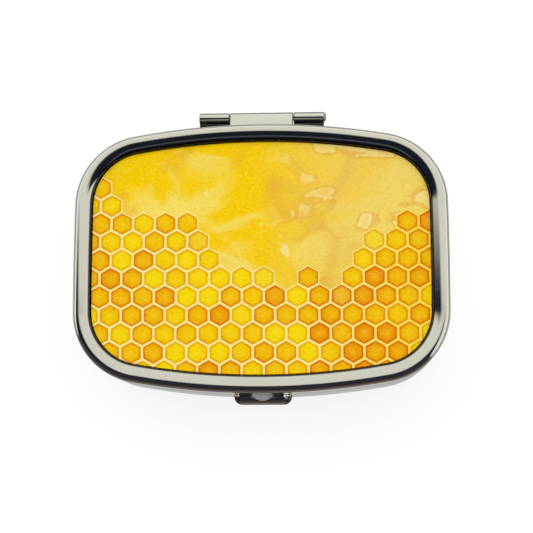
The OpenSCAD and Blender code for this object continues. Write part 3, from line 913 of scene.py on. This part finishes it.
def film_finish():
    """Double-sided film: off-white, matt, faintly mottled by the release paper."""
    material, tree, shader, where = new_finish("adhesive_film", srgb(232, 230, 218), roughness=0.7)
    mottle = noise(tree, where, 900, 3)
    tone = tinted(tree, mottle, srgb(222, 219, 204), srgb(240, 239, 230))
    tree.links.new(tone, shader.inputs["Base Color"])
    bumped(tree, shader, mottle, 8e-6)
    return material


def mirror_finish():
    """Silvered glass: a clean reflection, faintly green, with a trace of wiping marks."""
    silver = (0.9, 0.92, 0.91, 1)
    material, tree, shader, where = new_finish("silvered_glass", silver, metallic=1.0, roughness=0.01)
    wiped = noise(tree, where, 90, 4, stretch=(1, 3, 1), warp=1.0)
    tree.links.new(ramp(tree, wiped, 0.5, 0.8, 0.006, 0.06), shader.inputs["Roughness"])
    tone = tinted(tree, ramp(tree, wiped, 0.3, 0.8), (0.91, 0.93, 0.92, 1), (0.86, 0.89, 0.87, 1))
    tree.links.new(tone, shader.inputs["Base Color"])
    return material


film = film_finish()
film_edges = (0.02 * MM, 0.02 * MM)
film_in, glass_in = 4 * MM, 3.6 * MM
film_low, film_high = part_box("mirror_adhesive")
mirror_film = slab("mirror_film", film_in, film_low.z, film_high.z, film_edges)
polished(mirror_film)
mounted(mirror_film, "lid", film, "mirror_adhesive")

glass_low, glass_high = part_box("mirror_glass")
mirror = slab("mirror_pane", glass_in, glass_low.z, glass_high.z, (0.15 * MM, 0.05 * MM))
polished(mirror)
mounted(mirror, "lid", mirror_finish(), "mirror_glass")

frame_low, frame_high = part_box("mirror_frame")
frame_in, frame_out, lip_in = 2.1 * MM, 3.5 * MM, 4.3 * MM
lip_z = frame_low.z + 0.45 * MM
frame_section = rounded([
    (-lip_in, frame_low.z), (-frame_in, frame_low.z), (-frame_in, frame_high.z),
    (-frame_out, frame_high.z), (-frame_out, lip_z), (-lip_in, lip_z),
], np.array([0.22, 0.6, 0.1, 0.1, 0.05, 0.12]) * MM, 8)[0]
frame_grid = carried(outline(fine=2), frame_section)
mirror_frame = solid("mirror_surround", frame_grid, quads(*frame_grid.shape[:2], wrap_rows=True))
polished(mirror_frame)
frame_plastic = moulded_plastic("glossy_white_plastic", (0.83, 0.83, 0.81, 1), 0.14, 0.03)
mounted(mirror_frame, "lid", frame_plastic, "mirror_frame")

# ---- Picture: adhesive and printed plate ----
# Thin aluminium sheet, printed edge to edge and stuck into the lid's recess. The print is a loose
# watercolour honeycomb: cells in yellow and orange over a yellow wash with paler stains.

picture_in = 2.72 * MM
print_film = slab("print_film", picture_in + 0.3 * MM, glue_low.z, glue_high.z, film_edges)
polished(print_film)
mounted(print_film, "lid", film, "print_adhesive")


def hexagons(tree, where):
    """Cells in rows, a little wobbly. A point is wrapped into two interleaved grids of rectangles, sqrt 3
    times as tall as wide, and belongs to the cell whose centre is nearer. Gives how near it is to a side of
    the cell, max(|x|, |x| / 2 + |y| * sqrt 3 / 2), which is 0.5 there; three random numbers for each cell;
    and how far across and up the plate the cell's centre is, in millimetres."""
    cell_w, cell_h, wobble_by = 3.28 * MM, 3.2 * MM, 0.16 * MM
    shift = (1.1 * MM, 0.4 * MM, 0)
    root_3 = 3 ** 0.5
    wobble = put(tree, "TexNoise", {"Vector": where, "Scale": 480, "Detail": 2}).outputs["Color"]
    wobble = vectors(tree, "SUBTRACT", wobble, (0.5, 0.5, 0.5))
    wobble = vectors(tree, "MULTIPLY", wobble, (wobble_by, wobble_by, wobble_by))
    place = vectors(tree, "ADD", vectors(tree, "ADD", where, wobble), shift)
    place = vectors(tree, "DIVIDE", place, (cell_w, cell_h, 1))
    place = vectors(tree, "MULTIPLY", place, (1, 1, 0))

    half, back = (0.5, root_3 / 2, 0), (-0.5, -root_3 / 2, 0)
    even = vectors(tree, "WRAP", place, half, back)
    odd = vectors(tree, "WRAP", vectors(tree, "SUBTRACT", place, half), half, back)
    even_far, odd_far = (vectors(tree, "LENGTH", wrapped, out=1) for wrapped in (even, odd))
    nearer = maths(tree, "LESS_THAN", even_far, odd_far)
    inside = put(tree, "Mix", {0: nearer, 4: odd, 5: even}, data_type="VECTOR").outputs[1]
    x, y, _ = split(tree, vectors(tree, "ABSOLUTE", inside))
    slant = maths(tree, "MULTIPLY_ADD", y, root_3 / 2, maths(tree, "MULTIPLY", x, 0.5))
    edge = maths(tree, "SMOOTH_MAX", x, slant, 0.06)

    centre = vectors(tree, "SUBTRACT", place, inside)
    number = vectors(tree, "MULTIPLY_ADD", centre, (2, 2 / root_3, 1), (0.5, 0.5, 0.5))
    number = vectors(tree, "FLOOR", number)
    picks = split(tree, put(tree, "TexWhiteNoise", {0: number}, noise_dimensions="3D").outputs["Color"])
    across, up, _ = split(tree, vectors(tree, "MULTIPLY", centre, (cell_w / MM, cell_h / MM, 0)))
    return edge, picks, across, up


def comb_top(tree, across, pick):
    """Height of the comb's edge over the middle of the plate, in millimetres: a low middle between a shelf at
    the left, with a peak in its corner, and a slope at the right, roughened by each cell's own number."""
    shelf = ramp(tree, across, -1.5, -9.5, -2.2, 7.2)
    peak = ramp(tree, across, -18.5, -25, 0, 8)
    slope = ramp(tree, across, 12, 26, 0, 9.5)
    level = maths(tree, "ADD", maths(tree, "ADD", shelf, peak), slope)
    return maths(tree, "MULTIPLY_ADD", pick, 2.8, maths(tree, "SUBTRACT", level, 1.4))


def painted_cells(tree, where, brush, edge, picks, across, below):
    """Each cell is mixed from yellow and orange, more orange to the right. Some are paler, mostly close below
    the comb's edge. A cell is brightest in its middle and dried darker at its rim. Cream lines part them."""
    pool = noise(tree, where, 420, 3, warp=0.5)
    mix = maths(tree, "MULTIPLY_ADD", across, 0.004, picks[0])
    mix = maths(tree, "MULTIPLY_ADD", pool, 0.6, maths(tree, "SUBTRACT", mix, 0.3))
    paint = tinted(tree, ramp(tree, mix, 0.0, 0.6), srgb(250, 220, 5), srgb(243, 188, 4))
    paint = tinted(tree, ramp(tree, mix, 0.55, 1.1), paint, srgb(236, 152, 2))
    thin_paint = maths(tree, "MULTIPLY_ADD", below, -0.05, picks[1])
    paint = tinted(tree, ramp(tree, thin_paint, 0.6, 1.0, 0, 0.5), paint, srgb(243, 215, 80))
    paint = tinted(tree, ramp(tree, edge, 0.0, 0.34, 0.3, 0.0), paint, srgb(252, 225, 40))
    rim = ramp(tree, maths(tree, "MULTIPLY_ADD", brush, 0.10, edge), 0.35, 0.48)
    rim = maths(tree, "MULTIPLY", rim, ramp(tree, mix, 0.0, 1.0, 0.5, 1.0))
    paint = tinted(tree, rim, paint, srgb(218, 106, 0))
    cream = tinted(tree, ramp(tree, across, 6, 26, 0, 0.8), srgb(251, 238, 150), srgb(253, 222, 45))
    return tinted(tree, ramp(tree, edge, 0.438, 0.454), paint, cream)


def painted_wash(tree, where):
    """Clouds of yellow and tan, small cream spots and, to the right, paler stains with edges that dried a
    little darker."""
    clouds = noise(tree, where, 62, 4, stretch=(1, 1.4, 1), warp=0.8)
    wash = tinted(tree, ramp(tree, clouds, 0.38, 0.52), srgb(248, 225, 106), srgb(249, 209, 6))
    tan = noise(tree, vectors(tree, "ADD", where, (0.03, 0.01, 0)), 85, 5, warp=1.2)
    wash = tinted(tree, ramp(tree, tan, 0.48, 0.68, 0.0, 0.75), wash, srgb(233, 178, 52))
    east = ramp(tree, split(tree, where)[0], -2 * MM, 13 * MM)
    wash = tinted(tree, maths(tree, "MULTIPLY", east, 0.58), wash, srgb(240, 211, 112))
    stain = noise(tree, where, 130, 4, stretch=(1, 1.2, 1), warp=0.9)
    ridge = maths(tree, "MULTIPLY", ramp(tree, stain, 0.48, 0.554), ramp(tree, stain, 0.57, 0.556))
    ridge = maths(tree, "MULTIPLY", ridge, maths(tree, "MULTIPLY", east, 0.6))
    wash = tinted(tree, ridge, wash, srgb(229, 170, 70))
    fade = maths(tree, "MULTIPLY", ramp(tree, stain, 0.54, 0.58), ramp(tree, stain, 0.70, 0.56, 0.1, 0.6))
    wash = tinted(tree, maths(tree, "MULTIPLY", fade, east), wash, srgb(250, 231, 166))
    spots = noise(tree, vectors(tree, "ADD", where, (0.01, 0.05, 0)), 330, 2)
    return tinted(tree, ramp(tree, spots, 0.70, 0.72, 0.0, 0.55), wash, srgb(252, 238, 180))


def honeycomb_print():
    """Watercolour on grained paper: painted cells up to the comb's edge, and a wash above it."""
    material, tree, shader, where = new_finish("honeycomb_print", srgb(240, 195, 40), roughness=0.35)
    shader.inputs["Specular IOR Level"].default_value = 0.0
    brush = noise(tree, where, 1500, 3)
    grain = noise(tree, where, 2600, 3, stretch=(1, 1.8, 1))
    edge, picks, across, up = hexagons(tree, where)
    below = maths(tree, "SUBTRACT", comb_top(tree, across, picks[2]), up)
    comb = painted_cells(tree, where, brush, edge, picks, across, below)
    picture = tinted(tree, maths(tree, "GREATER_THAN", below, 0.0), painted_wash(tree, where), comb)
    picture = tinted(tree, ramp(tree, grain, 0.52, 0.75, 0.0, 0.1), picture, srgb(255, 248, 190))
    picture = tinted(tree, ramp(tree, grain, 0.48, 0.3, 0.0, 0.16), picture, srgb(200, 140, 0))
    tree.links.new(picture, shader.inputs["Base Color"])
    tree.links.new(ramp(tree, brush, 0.3, 0.7, 0.3, 0.45), shader.inputs["Roughness"])
    bumped(tree, shader, grain, 2e-6)
    return material


plate_low, plate_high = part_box("print_plate")
plate = slab("printed_plate", picture_in, plate_low.z, plate_high.z, (0.04 * MM, 0.04 * MM))
polished(plate)
mounted(plate, "lid", honeycomb_print(), "print_plate")

# ---- Clear dome ----
# Clear resin poured on the print. Surface tension holds it at the plate's edge, where it rises in
# a steep shoulder, and it sets slightly crowned.


def resin():
    """Clear resin: what lies below shows through, and the surface adds a thin reflection."""
    material = bpy.data.materials.new("doming_resin")
    material.use_nodes = True
    tree = material.node_tree
    tree.nodes.clear()
    where = put(tree, "TexCoord", {}).outputs["Object"]
    ripple = put(tree, "Bump", {"Height": noise(tree, where, 160, 2), "Distance": 4e-6}).outputs[0]
    dust = ramp(tree, noise(tree, where, 500, 4), 0.5, 0.8, 0.02, 0.07)
    white = (1, 1, 1, 1)
    clear = put(tree, "BsdfTransparent", {"Color": (1, 0.995, 0.975, 1)}).outputs[0]
    gloss = put(tree, "BsdfAnisotropic", {"Color": white, "Roughness": dust, "Normal": ripple}).outputs[0]
    bend = put(tree, "LayerWeight", {"Blend": 0.08, "Normal": ripple}).outputs["Fresnel"]
    facing = maths(tree, "SUBTRACT", 1.0, put(tree, "NewGeometry", {}).outputs["Backfacing"])
    share = maths(tree, "MULTIPLY", bend, facing)
    mixed = put(tree, "MixShader", {0: share, 1: clear, 2: gloss}).outputs[0]
    put(tree, "OutputMaterial", {0: mixed})
    return material


dome_low, dome_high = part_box("clear_dome")
dome_t = dome_high.z - dome_low.z
hair = 0.01 * MM
dome_foot = dome_low.z + hair

# In from its upright edge, the shoulder climbs by over half the thickness, as 1 - exp(-way / shoulder_r). The
# crown adds the last tenth, as 1 - share ** 2, and share runs from 1 at the shoulder to 0 in the middle
shoulder_w, shoulder_r = 4.2 * MM, 0.75 * MM
shoulder = np.linspace(0, 1, 15) ** 1.5 * shoulder_w
lift = dome_t * (0.35 + 0.55 * (1 - np.exp(-shoulder / shoulder_r)))
dome_section = np.concatenate([
    [[-picture_in, dome_foot], [-picture_in, dome_low.z + 0.3 * dome_t]],
    np.stack([-picture_in - 0.03 * MM - shoulder, dome_low.z + lift], 1),
])
dome_grid = carried(outline(fine=2), dome_section)
crown_shares = np.linspace(1, 0, 13)[1:]
crown_rise = dome_grid[-1, 0, 2] + 0.1 * dome_t * (1 - crown_shares ** 2)
dome_grid = np.concatenate([
    middle(dome_grid[0], [0, 0.5], [dome_foot, dome_foot]), dome_grid,
    middle(dome_grid[-1], crown_shares, crown_rise),
])
dome = solid("resin_dome", dome_grid, quads(*dome_grid.shape[:2]))
polished(dome, 60)
mounted(dome, "lid", resin(), "clear_dome")

# ---- Studio ----
# A white table under soft light. Light surrounds fill the polished metal with pale bands, and a
# dark side towards the front, where the viewer stands, draws the dark bands between them.


def table_finish():
    """White paper table top, almost shadowless."""
    material, tree, shader, where = new_finish("white_table", (0.2, 0.2, 0.2, 1), roughness=0.6)
    tree.links.new(ramp(tree, noise(tree, where, 30, 2), 0.3, 0.7, 0.55, 0.65), shader.inputs["Roughness"])
    shader.inputs["Specular IOR Level"].default_value = 0.1
    shader.inputs["Emission Color"].default_value = (1, 1, 1, 1)
    shader.inputs["Emission Strength"].default_value = 0.84
    return material


table_half = 2.5
table_top = np.array([[-1, -1, 0], [1, -1, 0], [1, 1, 0], [-1, 1, 0]]) * table_half - (0, 0, 0.02 * MM)
table = solid("table_top", table_top, [[0, 1, 2, 3]])
table.data.materials.append(table_finish())
table.visible_glossy = False
table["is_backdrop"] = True


def studio_world():
    """Surroundings by direction: pale all round, apart from a dark wedge that opens from just past the zenith
    towards the front, with two faint streaks. Below a thin dark horizon the colours are the floor's. The
    camera itself sees plain white."""
    world = bpy.data.worlds.new("studio")
    world.use_nodes = True
    tree = world.node_tree
    tree.nodes.clear()
    x, y, z = split(tree, put(tree, "TexCoord", {}).outputs["Generated"])
    side = maths(tree, "ABSOLUTE", maths(tree, "ADD", x, 0.2))
    spread = maths(tree, "MAXIMUM", maths(tree, "SUBTRACT", side, 0.5), 0.0)
    wedge = maths(tree, "MULTIPLY_ADD", spread, -1.4, maths(tree, "SUBTRACT", 0.1, y))
    wedge = maths(tree, "MULTIPLY_ADD", ramp(tree, x, -0.05, -0.3), 0.08, wedge)
    dark = ramp(tree, wedge, -0.05, 0.05)
    pale = tinted(tree, ramp(tree, z, 0.0, 1.0), (0.95, 0.95, 0.91, 1), (0.74, 0.74, 0.69, 1))
    steel = tinted(tree, ramp(tree, z, 0.1, 0.8), (0.075, 0.052, 0.047, 1), (0.010, 0.014, 0.022, 1))
    for place, reach, share in ((-0.3, 0.06, 0.55), (-0.62, 0.05, 0.4)):
        streak = maths(tree, "MULTIPLY", near(tree, y, place, reach), share)
        steel = tinted(tree, streak, steel, (0.17, 0.16, 0.20, 1))
    sky = tinted(tree, dark, pale, steel)
    under = tinted(tree, dark, (0.52, 0.52, 0.50, 1), (0.20, 0.175, 0.16, 1))
    under = tinted(tree, near(tree, z, -0.04, 0.2, 0.08), under, (0.03, 0.03, 0.03, 1))
    under = tinted(tree, ramp(tree, z, -0.6, -0.8), under, (0.035, 0.033, 0.033, 1))
    under = tinted(tree, ramp(tree, z, -0.9, -0.98), under, (0.5, 0.5, 0.5, 1))
    seen = tinted(tree, ramp(tree, z, 0.0, 0.12), under, sky)
    lit = put(tree, "Background", {"Color": seen, "Strength": 1.0}).outputs[0]
    white = put(tree, "Background", {"Color": (1, 1, 1, 1), "Strength": 1.0}).outputs[0]
    camera_ray = put(tree, "LightPath", {}).outputs["Is Camera Ray"]
    mixed = put(tree, "MixShader", {0: camera_ray, 1: lit, 2: white}).outputs[0]
    put(tree, "OutputWorld", {0: mixed})
    return world


bpy.context.scene.world = studio_world()
bpy.context.scene.view_settings.view_transform = "Standard"


def soft_sun(name, direction, strength, angle):
    """Broad light from a direction. The metal doesn't mirror it."""
    light = bpy.data.lights.new(name, "SUN")
    light.energy = strength
    light.angle = np.radians(angle)
    lamp = bpy.data.objects.new(name, light)
    lamp.rotation_euler = Vector(direction).to_track_quat("Z", "Y").to_euler()
    lamp.visible_glossy = False
    bpy.context.scene.collection.objects.link(lamp)


soft_sun("overhead_light", (0.1, 0.25, 1.0), 1.35, 80)
soft_sun("side_light", (-0.7, 0.3, 0.8), 0.5, 60)

# ---- Camera ----
# It looks down on the lid from nearly straight above, leaning a little to the front and to the right,
# through a long lens.

lid_top = Vector((0, 0, 15 * MM))
lean_front, lean_right = np.radians(9.31), 0.055
distance = 197.1 * MM
behind = Vector((
    np.sin(lean_right),
    -np.sin(lean_front) * np.cos(lean_right),
    np.cos(lean_front) * np.cos(lean_right),
))
right = Vector((0, 1, 0)).cross(behind).normalized()
up = behind.cross(right)
camera_data = bpy.data.cameras.new("camera")
camera_data.sensor_width = 36
camera_data.lens = 89.7
camera_data.shift_x = 0.0120
camera_data.shift_y = -0.0197
camera_data.clip_start = 0.01
camera = bpy.data.objects.new("camera", camera_data)
placing = Matrix((right, up, behind)).transposed().to_4x4()
placing.translation = lid_top + distance * behind
camera.matrix_world = placing
bpy.context.scene.collection.objects.link(camera)
bpy.context.scene.camera = camera

low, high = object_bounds()
